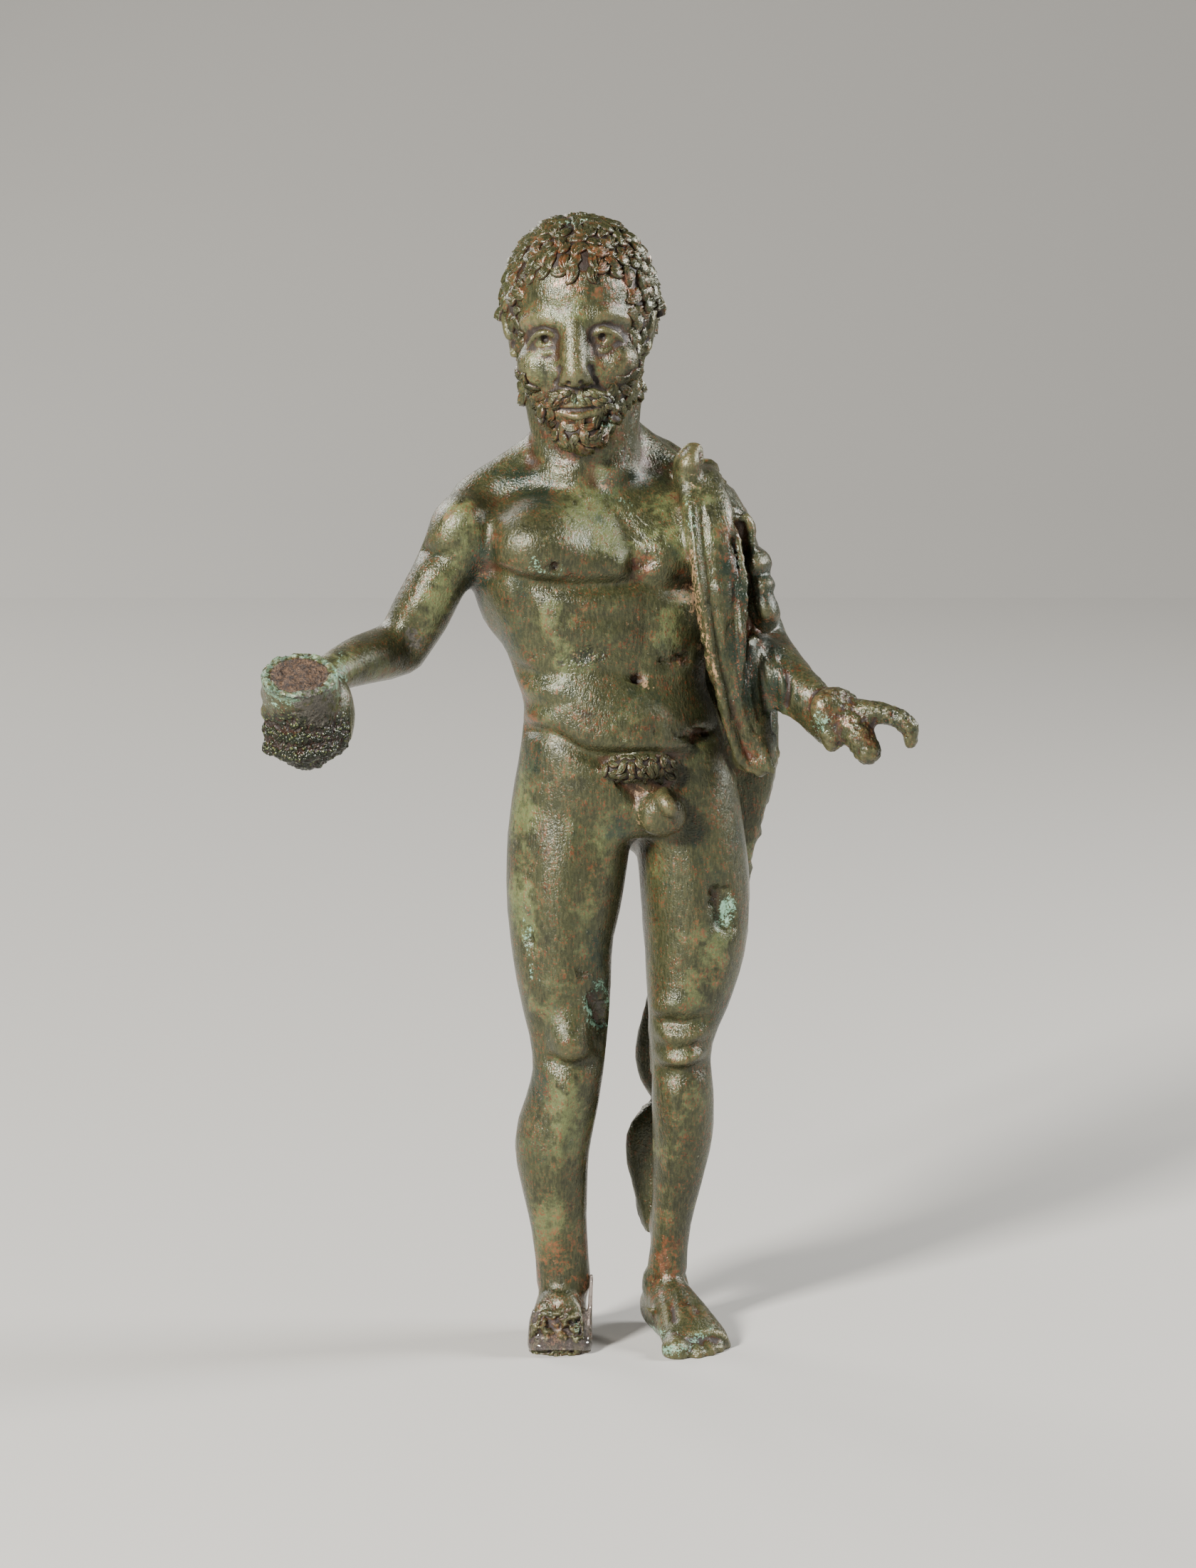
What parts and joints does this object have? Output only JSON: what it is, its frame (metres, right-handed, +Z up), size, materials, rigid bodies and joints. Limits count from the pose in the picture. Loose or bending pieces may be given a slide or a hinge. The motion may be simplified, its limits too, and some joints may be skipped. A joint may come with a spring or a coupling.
{
  "type": "bronze statuette",
  "caption": "Standing nude bearded hero in ancient bronze, club stub in the right fist, lion skin over the left shoulder and arm, a broken foot in a clear cradle.",
  "frame": {"origin": "on the floor under the soles, below the middle of the bounding box", "axes": "+Z up; the figure looks along -Y; the figure's right hand, which holds the club stub, is on the -X side"},
  "size_m": [0.092, 0.0528, 0.1651],
  "materials": {
    "bronze": "ancient cast bronze under a smooth dark olive patina, red-brown in the hollows, with turquoise chips and a soft gloss",
    "clear_resin": "clear, faintly pink cast resin with rounded, polished sides"
  },
  "bodies": {
    "root": {"hercules_figure": "bronze", "foot_cradle": "clear_resin"}
  },
  "joints": []
}
